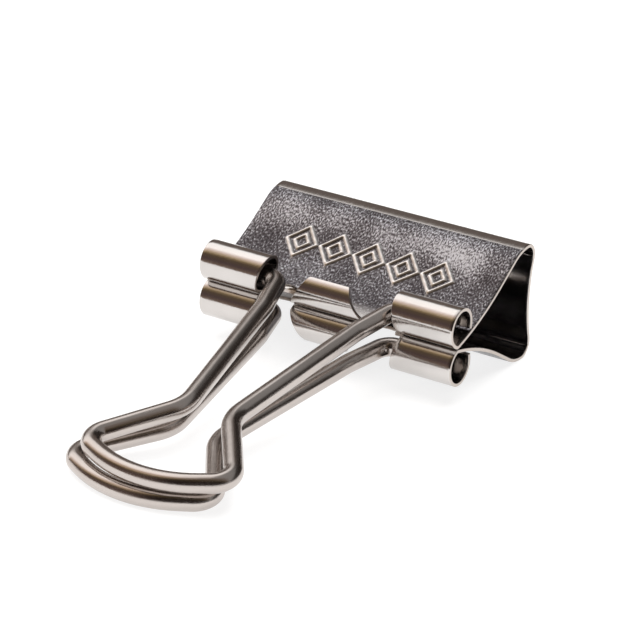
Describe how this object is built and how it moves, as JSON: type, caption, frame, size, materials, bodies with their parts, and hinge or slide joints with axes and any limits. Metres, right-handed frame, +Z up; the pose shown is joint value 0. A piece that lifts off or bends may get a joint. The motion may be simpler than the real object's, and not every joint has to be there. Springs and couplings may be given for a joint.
{
  "type": "binder clip",
  "caption": "Sprung steel binder clip: a hollow-backed triangular strip with rolled lips, and a pair of folding wire handles.",
  "frame": {"origin": "on the surface the clip lies on, under the middle of its bounding box", "axes": "+X along the clip's width, +Y from the handles towards the spine, +Z up; the jaws mirror about a level middle plane"},
  "size_m": [0.025, 0.0431, 0.0108],
  "materials": {
    "nickel_strip": "bright nickel plate with a fine orange-peel grain",
    "nickel_wire": "bright nickel plate on smooth drawn wire"
  },
  "bodies": {
    "spine": {"spine": "nickel_strip"},
    "upper_jaw": {"upper_jaw": "nickel_strip"},
    "lower_jaw": {"lower_jaw": "nickel_strip"},
    "upper_handle": {"upper_handle": "nickel_wire"},
    "lower_handle": {"lower_handle": "nickel_wire"}
  },
  "joints": [
    {"name": "upper_jaw_open", "type": "hinge", "parent": "spine", "child": "upper_jaw", "pos_m": [0, 0.02032, 0.0094], "axis": [-1, 0, 0], "range_deg": [0, 24], "stiffness_Nm_per_rad": 0.3},
    {"name": "lower_jaw_open", "type": "hinge", "parent": "spine", "child": "lower_jaw", "pos_m": [0, 0.02032, 0.00135], "axis": [1, 0, 0], "range_deg": [0, 24], "stiffness_Nm_per_rad": 0.3},
    {"name": "upper_handle_swing", "type": "hinge", "parent": "upper_jaw", "child": "upper_handle", "pos_m": [0, 0.00921, 0.00698], "axis": [-1, 0, 0], "range_deg": [0, 161.5]},
    {"name": "lower_handle_swing", "type": "hinge", "parent": "lower_jaw", "child": "lower_handle", "pos_m": [0, 0.00916, 0.00378], "axis": [1, 0, 0], "range_deg": [0, 149]}
  ],
  "couplings": [
    {"joint": "lower_jaw_open", "follows": "upper_jaw_open", "ratio": 1}
  ]
}
